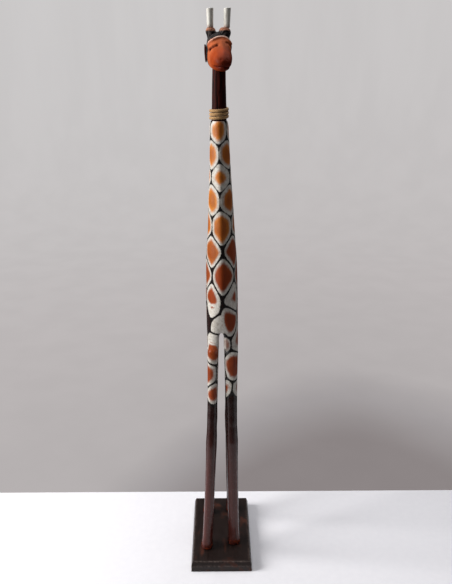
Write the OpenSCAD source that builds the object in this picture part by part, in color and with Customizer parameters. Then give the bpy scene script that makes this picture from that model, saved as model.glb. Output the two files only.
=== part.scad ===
/* [Overall] */
// Height from the table to the tops of the horns
total_h = 1000; // [980:5:1040]
// Height at which the four separate legs meet the body
leg_joint_z = 440; // [430:1:450]
// Height of the shoulder where the painted neck ends and the dark neck stick begins
shoulder_z = 833.5; // [830:0.5:838]

/* [Base] */
// Width of the base, across the animal
base_w = 116; // [112:1:130]
// Depth of the base, along the animal
base_d = 204; // [202:1:230]
// Thickness of the base
base_t = 21; // [18:1:24]
// How far the sloped top edge comes in
edge_in = 3; // [1:0.5:5]
// How far the sloped top edge comes down
edge_down = 9; // [4:0.5:12]

/* [Body] */
// Half width of the body at the hips
hip_half_w = 28.5; // [26:0.5:31]
// Front face of the chest, measured from the middle of the base
chest_y = -68; // [-72:0.5:-64]
// Back face of the rump, measured from the middle of the base
rump_y = 74; // [68:0.5:76]
// Half width of the neck just under the twine
neck_half_w = 15.1; // [14:0.1:17]
// Height of the low mane ridge on the back of the neck
mane_h = 3; // [0:0.5:5]
// Height of the blunt carved edge down the middle of the chest and neck
keel_h = 1.6; // [0:0.2:3]
// Top of the sawn slot between the left and right legs
slot_top_z = 477; // [470:1:482]
// Width of the slot at the leg joint
slot_w = 10; // [8:0.5:12]
// Underside of the belly between front and hind legs
belly_z = 487; // [482:1:495]

/* [Neck and head] */
// Diameter of the dark neck stick at the shoulder
stick_d = 24.6; // [22:0.2:25]
// Diameter of the dark neck stick under the head
stick_top_d = 20.6; // [19:0.2:22]
// Diameter of the round tenons at both ends of the neck stick
tenon_d = 13; // [10:0.5:15]
// Height of one turn of the flat twine
twine_h = 4.9; // [4:0.1:5.4]
// Thickness of the twine
twine_t = 3.4; // [3:0.1:4.2]
// Number of turns of twine
twine_turns = 3; // [2:1:4]
// Turn of the head towards the animal's left
head_turn = 10; // [0:1:14]
// Dip of the muzzle below level
head_dip = 23; // [18:1:28]

/* [Horns, ears and tail] */
// Diameter of a horn dowel at the top
horn_d = 11; // [9:0.2:12]
// Diameter of a horn dowel where it leaves the head
horn_foot_d = 9.4; // [8:0.2:10]
// Length of an ear
ear_l = 31; // [26:1:34]
// Length of the hanging tail
tail_l = 112; // [90:1:125]

/* [Fastenings] */
// Diameter of the wooden leg dowels
dowel_d = 8; // [6:0.5:9]
// Length of the wooden leg dowels
dowel_l = 40; // [30:1:44]
// Shank diameter of the screws that hold the feet
screw_d = 3.5; // [3:0.1:4]
// Head diameter of those screws
screw_head_d = 7; // [6:0.1:8]
// Length of those screws
screw_l = 50; // [40:1:55]

/* [Hidden] */
ROUND_FN = 48;
// Points round one ring of the body and head, of a leg, and of an ear or the tail
RING_N = 32;
LEG_RING_N = 24;
SMALL_RING_N = 16;
// How far a cutting shape runs past the wood it cuts
OVER = 1;
// Reach of the cuts that go right through the body
THROUGH = 150;

// The animal faces -Y, so its left side is +X.
// Body stations from the leg joint up to the shoulder:
// [height, middle x, half width, front y, back y, squareness]
BODY = [
    [leg_joint_z, 3.2, hip_half_w - 0.8, chest_y + 5, rump_y - 7, 5],
    [470, 2.9, hip_half_w - 0.3, chest_y + 2, rump_y - 2, 4],
    [500, 2.3, hip_half_w, chest_y, rump_y, 3.1],
    [530, 2.0, hip_half_w, chest_y, rump_y, 2.6],
    [556, 1.8, hip_half_w - 0.4, chest_y + 1.5, rump_y - 6, 2.5],
    [580, 1.6, hip_half_w - 1, chest_y + 3.5, rump_y - 24, 2.4],
    [604, 1.3, hip_half_w - 2, chest_y + 5, 26, 2.3],
    [630, 1.1, hip_half_w - 4, chest_y + 6.5, 6, 2.1],
    [665, 1.0, 22.3, chest_y + 7.5, -6, 1.95],
    [709, 0, 20.3, chest_y + 8, -15, 1.85],
    [747, -0.3, 18, chest_y + 8.5, -22, 1.8],
    [784, -1.1, 16.6, chest_y + 9, -27, 1.8],
    [shoulder_z - 5, -2.1, neck_half_w, chest_y + 8.8, -29.4, 1.9],
    [shoulder_z, -2.1, neck_half_w - 1.6, chest_y + 10.4, -31, 1.9],
];

// Legs: [top x, foot x, top y, foot y, top width factor, width factor below the thigh]
FRONT_LEFT = [18.2, 24.8, -45.5, -41.5, 1.23, 1.12];
FRONT_RIGHT = [-14.2, -28.3, -45.5, -55, 0.99, 0.99];
HIND_LEFT = [17.2, 22.4, 48, 60, 1.16, 1.08];
HIND_RIGHT = [-13.8, -27, 48, 54, 0.97, 1];
// One leg's thickness: [share of the leg's height, half width, half depth, squareness]
LEG = [
    [0, 11.2, 13, 2.4],
    [0.025, 11, 12.6, 2.4],
    [0.055, 9.8, 10.6, 2.3],
    [0.12, 9.5, 9.9, 2.2],
    [0.36, 9.4, 10.2, 2.2],
    [0.47, 9.6, 10.8, 2.3],
    [0.545, 10.2, 12, 2.4],
    [0.63, 9.2, 10.6, 2.3],
    [0.78, 9.1, 11.4, 2.5],
    [0.92, 9.6, 14.5, 3.1],
    [1, 9.9, 16.4, 3.6],
];
// Power of the curve by which the legs bow outwards towards the feet
LEG_BOW = 1.6;
// Share of the leg's height at which the thigh starts
THIGH = 0.63;

// Head stations along the head from the back of the skull to the nose:
// [distance, half width, top, bottom, squareness]
HEAD = [
    [-27.5, 4, 4, -4, 2],
    [-26.5, 9, 10.5, -11, 2.1],
    [-19, 15.2, 20.5, -21, 2.4],
    [-7, 17.6, 24, -25.5, 3],
    [6, 18.5, 23.6, -26.6, 3.1],
    [16, 18.2, 20, -25.6, 2.6],
    [26, 17.2, 15.5, -22.8, 2.3],
    [36, 15.6, 12.2, -19.2, 2.2],
    [45, 13.4, 10, -15.8, 2.1],
    [52, 10.8, 7.4, -12.6, 2.1],
    [56, 7.4, 4.4, -9.2, 2],
    [57.5, 3.2, 0.8, -6, 2],
];

// Slot between the left and right legs: middle, radius of its top, and narrowing of that top
SLOT_X = 0.9;
SLOT_ROUND = 9;
SLOT_PINCH = 0.8;
// Arch under the belly: front edge, back edge and corner radius
ARCH_FRONT = -27;
ARCH_BACK = 30;
ARCH_CORNER = 22;

// Heights at which the mane ridge and the front edge start, and how far they take to rise
MANE_Z = 590;
MANE_RISE = 50;
KEEL_Z = 500;
KEEL_RISE = 60;
// How far below the shoulder both of them run out
RIDGE_END = 12;
// Half spread of a ridge round the body, in degrees
RIDGE_SPREAD = 13;

// Neck stick: foot on the shoulder, with a slight forward lean
STICK_FOOT = [-2.1, -44.4, shoulder_z];
STICK_LEAN = 3;
STICK_L = 93.5;
// How deep the stick itself sits in the body, below its shoulder
STICK_SEAT = 6;
TENON_L = 30;
TENON_TOP = 18;
// Open height between turns of twine
TWINE_GAP = 0.6;
// Where the first turn starts, above the shoulder
TWINE_FOOT = 0.6;
// Middle of the skull, above the top of the stick
SKULL = [-2.9, -46, 940];
// Depth of the sockets for horns, ears and tail
SOCKET = 10;
// Horns: [x, y, foot height, lean to the side, width of the mound under it, mound's place across]
HORN_LEFT = [10.2, -48, 972, 1.5, 18.5, -3];
HORN_RIGHT = [-15.2, -47, 972, -1, 15, 0.5];
// Slant of a horn's sawn top, and how far its highest point is kept below the total height
HORN_SLANT = -6;
HORN_TOP_GAP = 0.6;
// Width of the flat on a mound that its horn stands on
MOUND_FLAT = 10.4;
// Length and narrowing of a mound's root inside the skull
MOUND_ROOT = 11;
MOUND_TAPER = 6;
// Where an ear's root sits in the skull: out to the side, forward, and up
EAR_ROOT = [17.2, 6, -1];
// How far an ear's middle stands off its root, its backward swing and its lean to the cheek
EAR_OFF = 3.2;
EAR_SWING = 12;
EAR_LEAN = 8;
PEG_D = 6;
EAR_PEG_D = 4;
TAIL_PEG_D = 5;
// How deep the tail's peg sits in the rump
TAIL_SOCKET = 14;
// Place of the tail's root
TAIL_X = 2;
TAIL_Y = 84;
TAIL_Z = 548;
// Screw: sunk below the base's underside, rim of its head, length of its point
SCREW_SUNK = 1;
SCREW_RIM = 0.6;
SCREW_POINT = 5;
// Cross recess of a screw: length, width and depth
CROSS = [4, 1, 1.4];

// Smooth curve through the rows of a station list
function clamp_row(t, i) = t[max(0, min(len(t) - 1, i))];
function curve(p0, p1, p2, p3, u) =
    0.5 * (2 * p1 + (p2 - p0) * u + (2 * p0 - 5 * p1 + 4 * p2 - p3) * u * u
    + (3 * p1 - p0 - 3 * p2 + p3) * u * u * u);
function at(t, s) = let (i = min(floor(s), len(t) - 2))
    curve(clamp_row(t, i - 1), t[i], t[i + 1], clamp_row(t, i + 2), s - i);
function rows(t, per_gap) = [for (k = [0 : (len(t) - 1) * per_gap]) at(t, k / per_gap)];

// A rounded square outline around the origin, reaching from low (negative) to high
function bent(v, n) = sign(v) * pow(abs(v), 2 / n);
function outline(a, low, high, n, count) = [for (k = [0 : count - 1])
    let (q = 360 * k / count, s = bent(sin(q), n))
    [a * bent(cos(q), n), s < 0 ? -s * low : s * high]];

// The skin over a stack of rings, each ring anticlockwise seen from the far end
module skin(rings) {
    n = len(rings[0]);
    last = (len(rings) - 1) * n;
    points = [for (r = rings) each r];
    sides = [for (i = [0 : len(rings) - 2], j = [0 : n - 1])
        let (p = i * n + j, q = i * n + (j + 1) % n)
        each [[p, p + n, q + n], [p, q + n, q]]];
    start = [for (j = [0 : n - 1]) j];
    end = [for (j = [n - 1 : -1 : 0]) last + j];
    polyhedron(points = points, faces = concat(sides, [start], [end]), convexity = 6);
}

// Body ring at one station, with the low mane ridge behind and the blunt edge in front
function unit(v) = max(0, min(1, v));
function ridge(z, q, middle, from_z, rise) = exp(-pow((q - middle) / RIDGE_SPREAD, 2))
    * unit((z - from_z) / rise) * unit((shoulder_z - z) / RIDGE_END);
function ridges(z, q) = mane_h * ridge(z, q, 90, MANE_Z, MANE_RISE)
    - keel_h * ridge(z, q, 270, KEEL_Z, KEEL_RISE);
function body_ring(r) = let (mid = (r[3] + r[4]) / 2, half = (r[4] - r[3]) / 2)
    [for (k = [0 : RING_N - 1]) let (q = 360 * k / RING_N)
    [r[1] + r[2] * bent(cos(q), r[5]), mid + half * bent(sin(q), r[5]) + ridges(r[0], q), r[0]]];

function leg_ring(leg, r) = let (
        z = base_t + (leg_joint_z - base_t) * r[0],
        drop = 1 - r[0],
        thigh = max(0, (r[0] - THIGH) / (1 - THIGH)),
        wide = leg[5] + (leg[4] - leg[5]) * thigh,
        x = leg[0] + (leg[1] - leg[0]) * pow(drop, LEG_BOW),
        y = leg[2] + (leg[3] - leg[2]) * drop)
    [for (p = outline(r[1] * wide, -r[2], r[2], r[3], LEG_RING_N))
        [x + p[0], y + p[1], z]];

function head_ring(r) = [for (p = outline(r[1], r[3], r[2], r[4], RING_N)) [p[0], -r[0], p[1]]];

// Places shared by the fastenings and the holes that take them
module at_leg_tops() {
    for (leg = [FRONT_LEFT, FRONT_RIGHT, HIND_LEFT, HIND_RIGHT])
        translate([leg[0], leg[2], leg_joint_z]) children();
}
module at_feet() {
    for (leg = [FRONT_LEFT, FRONT_RIGHT, HIND_LEFT, HIND_RIGHT])
        translate([leg[1], leg[3], 0]) children();
}
module in_stick_frame() {
    translate(STICK_FOOT) rotate([STICK_LEAN, 0, 0]) children();
}
module in_head_frame() {
    translate(SKULL) rotate([0, 0, head_turn]) rotate([head_dip, 0, 0]) children();
}
module in_horn_frame(horn) {
    translate([horn[0], horn[1], horn[2]]) rotate([0, horn[3], 0]) children();
}
// side is 1 for the left ear and -1 for the right
module in_ear_frame(side) {
    in_head_frame() translate([side * EAR_ROOT[0], EAR_ROOT[1], EAR_ROOT[2]])
        rotate([0, side * 90, 0]) children();
}

module leg_dowel() {
    translate([0, 0, -dowel_l / 2]) cylinder(d = dowel_d, h = dowel_l, $fn = ROUND_FN);
}
module screw_shape() {
    rim_z = SCREW_SUNK + SCREW_RIM;
    cone_h = (screw_head_d - screw_d) / 2;
    rotate_extrude($fn = ROUND_FN)
        polygon([[0, SCREW_SUNK], [screw_head_d / 2, SCREW_SUNK], [screw_head_d / 2, rim_z],
            [screw_d / 2, rim_z + cone_h], [screw_d / 2, screw_l - SCREW_POINT], [0, screw_l]]);
}
module stick() {
    in_stick_frame() {
        translate([0, 0, -STICK_SEAT])
            cylinder(d1 = stick_d, d2 = stick_top_d, h = STICK_L + STICK_SEAT, $fn = ROUND_FN);
        translate([0, 0, -TENON_L])
            cylinder(d = tenon_d, h = STICK_L + TENON_L + TENON_TOP, $fn = ROUND_FN);
    }
}
module horn_peg(horn) {
    in_horn_frame(horn) translate([0, 0, -SOCKET])
        cylinder(d = PEG_D, h = SOCKET + OVER, $fn = ROUND_FN);
}
module ear_peg(side) {
    in_ear_frame(side) translate([0, 0, EAR_OFF - SOCKET])
        cylinder(d = EAR_PEG_D, h = SOCKET, $fn = ROUND_FN);
}
module tail_peg() {
    translate([TAIL_X, rump_y - TAIL_SOCKET, TAIL_Z]) rotate([-90, 0, 0])
        cylinder(d = TAIL_PEG_D, h = TAIL_Y - rump_y + TAIL_SOCKET, $fn = ROUND_FN);
}

// Side view of the base: a block with a slope along both top edges
module base_profile(half) {
    polygon([[-half, 0], [half, 0], [half, base_t - edge_down], [half - edge_in, base_t],
        [edge_in - half, base_t], [-half, base_t - edge_down]]);
}
module base_plate() {
    color("#1c1512") difference() {
        intersection() {
            translate([0, base_d / 2, 0]) rotate([90, 0, 0])
                linear_extrude(base_d) base_profile(base_w / 2);
            translate([-base_w / 2, 0, 0]) rotate([90, 0, 90])
                linear_extrude(base_w) base_profile(base_d / 2);
        }
        at_feet() {
            screw_shape();
            translate([0, 0, -OVER])
                cylinder(d = screw_head_d, h = OVER + SCREW_SUNK + SCREW_RIM / 2, $fn = ROUND_FN);
        }
    }
}

// Outline of the slot between the legs, seen from the front
module slot_outline() {
    half = slot_w / 2;
    low = leg_joint_z - OVER;
    polygon(concat([[-half, low], [half, low]], [for (q = [0 : 15 : 180])
        [(half - SLOT_PINCH) * cos(q), slot_top_z + SLOT_ROUND * (sin(q) - 1)]]));
}
// Outline of the arch under the belly, seen from the side
module arch_outline() {
    low = leg_joint_z - OVER;
    mid_z = belly_z - ARCH_CORNER;
    polygon(concat([[ARCH_FRONT, low], [ARCH_BACK, low]],
        [for (q = [0 : 7.5 : 90])
            [ARCH_BACK + ARCH_CORNER * (cos(q) - 1), mid_z + ARCH_CORNER * sin(q)]],
        [for (q = [90 : 7.5 : 180])
            [ARCH_FRONT + ARCH_CORNER * (cos(q) + 1), mid_z + ARCH_CORNER * sin(q)]]));
}

// Torso and painted neck, carved from one block; the slot and the arch leave four stubs
module body() {
    color("#c77d2d") difference() {
        skin([for (r = rows(BODY, 2)) body_ring(r)]);
        translate([SLOT_X, THROUGH, 0]) rotate([90, 0, 0])
            linear_extrude(2 * THROUGH) slot_outline();
        translate([-THROUGH, 0, 0]) rotate([90, 0, 90])
            linear_extrude(2 * THROUGH) arch_outline();
        at_leg_tops() leg_dowel();
        stick();
        tail_peg();
    }
}

module leg(place) {
    color("#3a1c14") difference() {
        skin([for (r = rows(LEG, 2)) leg_ring(place, r)]);
        at_leg_tops() leg_dowel();
        at_feet() screw_shape();
    }
}
module leg_front_left() { leg(FRONT_LEFT); }
module leg_front_right() { leg(FRONT_RIGHT); }
module leg_hind_left() { leg(HIND_LEFT); }
module leg_hind_right() { leg(HIND_RIGHT); }

module leg_dowels() {
    color("#b98d5a") at_leg_tops() leg_dowel();
}

module base_screws() {
    color("#b5b5b5") at_feet() difference() {
        screw_shape();
        for (a = [0, 90]) rotate([0, 0, a])
            translate([-CROSS[0] / 2, -CROSS[1] / 2, 0]) cube([CROSS[0], CROSS[1], SCREW_SUNK + CROSS[2]]);
    }
}

// Dark stick, a little thinner at the top, with a round tenon at each end
module upper_neck() {
    color("#1a0f0d") stick();
}

// Twine wound round the foot of the stick, its ends tucked in against the first and last turn
function twine_point(s) = let (
        turn = 90 + 360 * s,
        r = stick_d / 2 + twine_t / 2 + 0.1,
        rise = twine_h / 2 + TWINE_FOOT + (twine_h + TWINE_GAP) * s)
    [r * cos(turn), r * sin(turn), rise];
function twine_ring(s, sides) = let (turn = 90 + 360 * s, p = twine_point(s))
    [for (k = [0 : sides - 1]) let (q = -360 * k / sides)
    p + [twine_t / 2 * cos(q) * cos(turn), twine_t / 2 * cos(q) * sin(turn), twine_h / 2 * sin(q)]];
module neck_twine() {
    per_turn = 24;
    color("#c79a4e") in_stick_frame()
        skin([for (k = [0 : twine_turns * per_turn]) twine_ring(k / per_turn, 8)]);
}

// Domed mound that grows out of the crown
module horn_mound(horn) {
    dome = sqrt(pow(horn[4] / 2, 2) - pow(MOUND_FLAT / 2, 2));
    in_horn_frame(horn) translate([horn[5], 0, -dome]) {
        sphere(d = horn[4], $fn = ROUND_FN);
        translate([0, 0, -MOUND_ROOT])
            cylinder(d1 = horn[4] - MOUND_TAPER, d2 = horn[4], h = MOUND_ROOT, $fn = ROUND_FN);
    }
}
// Everything above the foot of a horn, which leaves the mound a flat
module above_mound(horn) {
    in_horn_frame(horn) cylinder(d = horn[4] + 2 * OVER, h = MOUND_FLAT / 2, $fn = ROUND_FN);
}
module head() {
    color("#c8643c") difference() {
        union() {
            in_head_frame() skin([for (r = rows(HEAD, 2)) head_ring(r)]);
            horn_mound(HORN_LEFT);
            horn_mound(HORN_RIGHT);
        }
        above_mound(HORN_LEFT);
        above_mound(HORN_RIGHT);
        stick();
        horn_peg(HORN_LEFT);
        horn_peg(HORN_RIGHT);
        ear_peg(1);
        ear_peg(-1);
    }
}

// Pale dowel with a slanted sawn top and a thinner peg below
module horn(place) {
    length = total_h - place[2];
    color("#d8d2c4") union() {
        horn_peg(place);
        difference() {
            in_horn_frame(place)
                cylinder(d1 = horn_foot_d, d2 = horn_d, h = length + OVER, $fn = ROUND_FN);
            translate([place[0], place[1], total_h - HORN_TOP_GAP]) rotate([0, HORN_SLANT, 0])
                cylinder(d = 3 * horn_d, h = horn_d, $fn = ROUND_FN);
        }
    }
}
module horn_left() { horn(HORN_LEFT); }
module horn_right() { horn(HORN_RIGHT); }

// Leaf-shaped ear that hangs along the cheek, thick in the middle and thin at its edges
// [distance down the ear, half width, half thickness]
EAR = [
    [-7, 2.6, 1.4],
    [-4, 5.4, 1.7],
    [3, 7, 1.9],
    [12, 6.4, 1.8],
    [20, 4, 1.4],
    [ear_l - 8, 1.2, 0.9],
];
function ear_ring(side, r) = [for (p = outline(r[2], -r[1], r[1], 2, SMALL_RING_N))
    [-side * r[0], p[1], side * p[0]]];
module ear(side) {
    color("#1a1412") union() {
        in_ear_frame(side) translate([0, 0, EAR_OFF]) rotate([0, -side * EAR_LEAN, 180 + side * EAR_SWING])
            skin([for (r = rows(EAR, 2)) ear_ring(side, r)]);
        ear_peg(side);
    }
}
module ear_left() { ear(1); }
module ear_right() { ear(-1); }

// Thin carved tail that hangs behind the rump and ends in a tuft
// [distance down the tail, half width, shift back]
TAIL = [
    [-8, 2.4, 0],
    [-5, 4.4, 0],
    [2, 4.8, 0],
    [20, 3.8, -0.6],
    [62, 3.2, -2],
    [78, 4.8, -2.4],
    [92, 6.8, -2.4],
    [104, 5.2, -2],
    [tail_l - 8, 1.6, -2],
];
function tail_ring(r) = [for (p = outline(r[1], -r[1], r[1], 2, SMALL_RING_N))
    [p[0], r[2] - p[1], -r[0]]];
module tail() {
    color("#1a1412") union() {
        translate([TAIL_X, TAIL_Y, TAIL_Z]) skin([for (r = rows(TAIL, 2)) tail_ring(r)]);
        tail_peg();
    }
}

base_plate();
body();
leg_front_left();
leg_front_right();
leg_hind_left();
leg_hind_right();
leg_dowels();
base_screws();
upper_neck();
neck_twine();
head();
horn_left();
horn_right();
ear_left();
ear_right();
tail();
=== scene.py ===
import math

import bmesh
import bpy
import numpy as np
from mathutils import Matrix, Vector
from mathutils.bvhtree import BVHTree


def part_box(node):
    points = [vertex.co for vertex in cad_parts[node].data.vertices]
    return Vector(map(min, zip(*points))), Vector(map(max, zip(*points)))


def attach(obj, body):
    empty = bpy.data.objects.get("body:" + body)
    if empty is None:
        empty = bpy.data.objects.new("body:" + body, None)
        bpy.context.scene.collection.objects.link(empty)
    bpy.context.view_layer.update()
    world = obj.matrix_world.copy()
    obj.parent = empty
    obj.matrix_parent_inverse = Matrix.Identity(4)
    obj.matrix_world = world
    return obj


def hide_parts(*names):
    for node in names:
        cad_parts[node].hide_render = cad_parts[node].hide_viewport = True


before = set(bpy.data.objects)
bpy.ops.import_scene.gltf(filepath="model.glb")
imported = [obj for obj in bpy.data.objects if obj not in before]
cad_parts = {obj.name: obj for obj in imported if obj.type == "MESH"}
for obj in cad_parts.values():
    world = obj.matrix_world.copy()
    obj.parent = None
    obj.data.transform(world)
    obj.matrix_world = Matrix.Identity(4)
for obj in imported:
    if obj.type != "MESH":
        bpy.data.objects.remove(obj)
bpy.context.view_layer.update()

# Shapes are worked out in millimetres, in the frame's own axes, and written in metres.
MM = 0.001
LEGS = ["leg_front_left", "leg_front_right", "leg_hind_left", "leg_hind_right"]


# ---------------------------------------------------------------- mesh tools

# Points closer than this, in millimetres, are one point after a cut
SLIVER = 0.01
# Stands for "nowhere near", in millimetres
FAR_OFF = 1e3


def link(name, mesh):
    """A new object in the scene with this mesh."""
    piece = bpy.data.objects.new(name, mesh)
    bpy.context.scene.collection.objects.link(piece)
    return piece


def solid_copy(name, nodes):
    """One object that holds closed copies of some CAD nodes."""
    whole = bmesh.new()
    for node in nodes:
        part = bmesh.new()
        part.from_mesh(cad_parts[node].data)
        bmesh.ops.remove_doubles(part, verts=part.verts, dist=1e-6)
        mesh = bpy.data.meshes.new(node)
        part.to_mesh(mesh)
        part.free()
        whole.from_mesh(mesh)
    mesh = bpy.data.meshes.new(name)
    whole.to_mesh(mesh)
    whole.free()
    return link(name, mesh)


def apply_modifiers(piece):
    """Turns what a piece's modifiers make into its own mesh."""
    graph = bpy.context.evaluated_depsgraph_get()
    mesh = bpy.data.meshes.new_from_object(piece.evaluated_get(graph))
    piece.modifiers.clear()
    piece.data = mesh
    return piece


def remeshed(name, nodes, voxel):
    """A close even mesh over the outer surface of some CAD nodes."""
    piece = solid_copy(name, nodes)
    remesh = piece.modifiers.new("remesh", "REMESH")
    remesh.mode = "VOXEL"
    remesh.voxel_size = voxel * MM
    return apply_modifiers(piece)


def points_of(piece):
    """A piece's points as rows of x, y and z, in millimetres."""
    flat = np.empty(len(piece.data.vertices) * 3)
    piece.data.vertices.foreach_get("co", flat)
    return flat.reshape(-1, 3) / MM


def normals_of(piece):
    """The outward direction at each point of a piece."""
    flat = np.empty(len(piece.data.vertices) * 3)
    piece.data.vertex_normals.foreach_get("vector", flat)
    return flat.reshape(-1, 3)


def move_points(piece, points):
    """Gives a piece's points new places, in millimetres."""
    piece.data.vertices.foreach_set("co", (points * MM).ravel())
    piece.data.update()


def soften(piece, passes, weight=1.0):
    """Relaxes every point towards its neighbours, as sanding does."""
    points = points_of(piece)
    ends = np.empty(len(piece.data.edges) * 2, int)
    piece.data.edges.foreach_get("vertices", ends)
    a, b = ends[0::2], ends[1::2]
    count = len(points)
    share = np.maximum(np.bincount(ends, minlength=count), 1)[:, None]
    weight = np.broadcast_to(weight, count)[:, None]
    for _ in range(passes):
        total = np.stack([np.bincount(a, points[b, k], count) + np.bincount(b, points[a, k], count)
                          for k in range(3)], 1)
        points = points + 0.5 * weight * (total / share - points)
    move_points(piece, points)


def swell(piece, amount):
    """Moves every point along its normal by amount, in millimetres."""
    move_points(piece, points_of(piece) + normals_of(piece) * np.reshape(amount, (-1, 1)))


def finish_faces(piece, sharp_degrees=48):
    """Smooth shading with crisp edges where the surface really turns."""
    work = bmesh.new()
    work.from_mesh(piece.data)
    limit = math.radians(sharp_degrees)
    for face in work.faces:
        face.smooth = True
    for edge in work.edges:
        edge.smooth = not edge.is_manifold or edge.calc_face_angle(0) < limit
    work.to_mesh(piece.data)
    work.free()


def cut(piece, height, keep_above):
    """Cuts a closed piece level at a height and closes the cut."""
    work = bmesh.new()
    work.from_mesh(piece.data)
    everything = work.verts[:] + work.edges[:] + work.faces[:]
    bmesh.ops.bisect_plane(work, geom=everything, dist=1e-7, plane_co=(0, 0, height * MM),
                           plane_no=(0, 0, 1), clear_inner=keep_above, clear_outer=not keep_above)
    rim = [edge for edge in work.edges if edge.is_boundary]
    bmesh.ops.holes_fill(work, edges=rim, sides=0)
    bmesh.ops.recalc_face_normals(work, faces=work.faces[:])
    work.to_mesh(piece.data)
    work.free()


def keep_where(piece, test):
    """Drops every point that fails the test, with its faces."""
    work = bmesh.new()
    work.from_mesh(piece.data)
    doomed = [v for v in work.verts if not test(v.co / MM)]
    bmesh.ops.delete(work, geom=doomed, context="VERTS")
    work.to_mesh(piece.data)
    work.free()


def clean(piece):
    """Welds the slivers that a cut leaves, and drops its loose scraps."""
    work = bmesh.new()
    work.from_mesh(piece.data)
    bmesh.ops.remove_doubles(work, verts=work.verts, dist=SLIVER * MM)
    bmesh.ops.dissolve_degenerate(work, edges=work.edges, dist=SLIVER * MM)
    for vert in work.verts:
        vert.tag = False
    islands = []
    for start in work.verts:
        if start.tag:
            continue
        start.tag = True
        island = [start]
        # The list grows while it is read
        for vert in island:
            for edge in vert.link_edges:
                other = edge.other_vert(vert)
                if not other.tag:
                    other.tag = True
                    island.append(other)
        islands.append(island)
    largest = max(len(island) for island in islands)
    scraps = [vert for island in islands if len(island) < largest / 10 for vert in island]
    bmesh.ops.delete(work, geom=scraps, context="VERTS")
    work.to_mesh(piece.data)
    work.free()


def take_away(piece, cutter):
    """Cuts one closed object's shape out of a piece, and drops the cutter."""
    tool = piece.modifiers.new("drill", "BOOLEAN")
    tool.operation = "DIFFERENCE"
    tool.solver = "EXACT"
    tool.object = cutter
    apply_modifiers(piece)
    clean(piece)
    bpy.data.objects.remove(cutter)


def drill(piece, nodes):
    """Takes the shapes of some CAD nodes out of a piece."""
    take_away(piece, solid_copy("cutter", nodes))


def store(piece, name, values):
    """Keeps a value for each point, which a material reads by name."""
    layer = piece.data.attributes.new(name, "FLOAT", "POINT")
    layer.data.foreach_set("value", np.asarray(values, np.float32))


def ease(low, high, value):
    """0 at low, 1 at high, and a smooth rise between them."""
    t = np.clip((value - low) / (high - low), 0, 1)
    return t * t * (3 - 2 * t)


def hump(value, middle, width):
    """1 at the middle, fading out on both sides over the width."""
    return np.exp(-((value - middle) / width) ** 2)


def waves(points, length, seed, count=14):
    """Gentle hand-made unevenness, from -1 to 1, about so long from crest to crest."""
    rng = np.random.default_rng(seed)
    turns = rng.normal(size=(3, count))
    turns /= np.linalg.norm(turns, axis=0) * length * rng.uniform(0.7, 1.5, count) / (2 * math.pi)
    return np.sin(points @ turns + rng.uniform(0, 2 * math.pi, count)).mean(1) * math.sqrt(2)


def slice_middle(node, low, high):
    """Middle of a CAD node's points between two heights, in millimetres."""
    points = points_of(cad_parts[node])
    inside = points[(points[:, 2] >= low) & (points[:, 2] <= high)]
    return (inside.min(0) + inside.max(0)) / 2


def box_mm(node):
    """Lowest and highest corner of a CAD node's box, in millimetres."""
    low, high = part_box(node)
    return np.array(low) / MM, np.array(high) / MM


# ---------------------------------------------------------------- driving places

BASE_LOW, BASE_HIGH = box_mm("base_plate")
BASE_TOP = BASE_HIGH[2]
BODY_LOW, BODY_HIGH = box_mm("body")
LEG_JOINT = BODY_LOW[2]
SHOULDER = BODY_HIGH[2]
STICK_LOW, STICK_HIGH = box_mm("upper_neck")
STICK_FOOT = slice_middle("upper_neck", STICK_LOW[2] - 1, STICK_LOW[2] + 2)
STICK_HEAD = slice_middle("upper_neck", STICK_HIGH[2] - 2, STICK_HIGH[2] + 1)
HEAD_TOP = box_mm("head")[1][2]
# Middle of the skull: just behind and under the top of the neck stick
SKULL = STICK_HEAD + np.array([-0.8, 4.2, -4.8])
HEAD_TURN = math.radians(10)
HEAD_DIP = math.radians(23)
HEAD_AXES = Matrix.Rotation(HEAD_TURN, 3, "Z") @ Matrix.Rotation(HEAD_DIP, 3, "X")
# Place across and depth of the gaps that part left legs from right ones, and front legs from hind ones
LEG_GAP_X = 0.9
LEG_GAP_Y = 1.5


# ---------------------------------------------------------------- painted pattern

# Rows of patches: height, places across the front, and how many more go round the sides and back
PATCH_ROWS = [
    (858, [-13], 2), (820, [-3.9], 2), (782, [-13.8, 10.5], 1), (747, [-0.3], 2), (708, [-15.1, 13.8], 2),
    (665, [2.1], 3), (620, [-18.2, 22.4], 3), (578, [5.3], 5), (536, [-18.9, 22], 5), (500, [-21.5, 18], 6),
]
# Patches with a second middle: place across and height of the patch, then of its second middle.
# The border of the second middle is wider by LONG_BORDER, so the colour fades out towards it.
# The third of them makes the bare place taller.
LONG_PATCHES = [(-16.5, 536, -19, 512), (18, 500, -13, 487), (-21.5, 500, -21, 491),
                (-15.2, 446, -15.2, 466)]
LONG_BORDER = 11
# Patch number of bare stain, and the patch places left bare
BARE = -1
BARE_PLACES = [(-21.5, 500)]
# Changes to the width of a patch's pale border: place across, height, and by how much
PALE_PATCHES = [(-0.3, 747, 2.0), (22, 536, 6), (26.4, 461, 4), (12.3, 461, -1.5), (21.2, 410, 1.4),
                (12.5, 358, 2), (22.5, 358, 2), (-18.9, 536, 0.8), (18, 500, -0.2)]
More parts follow.
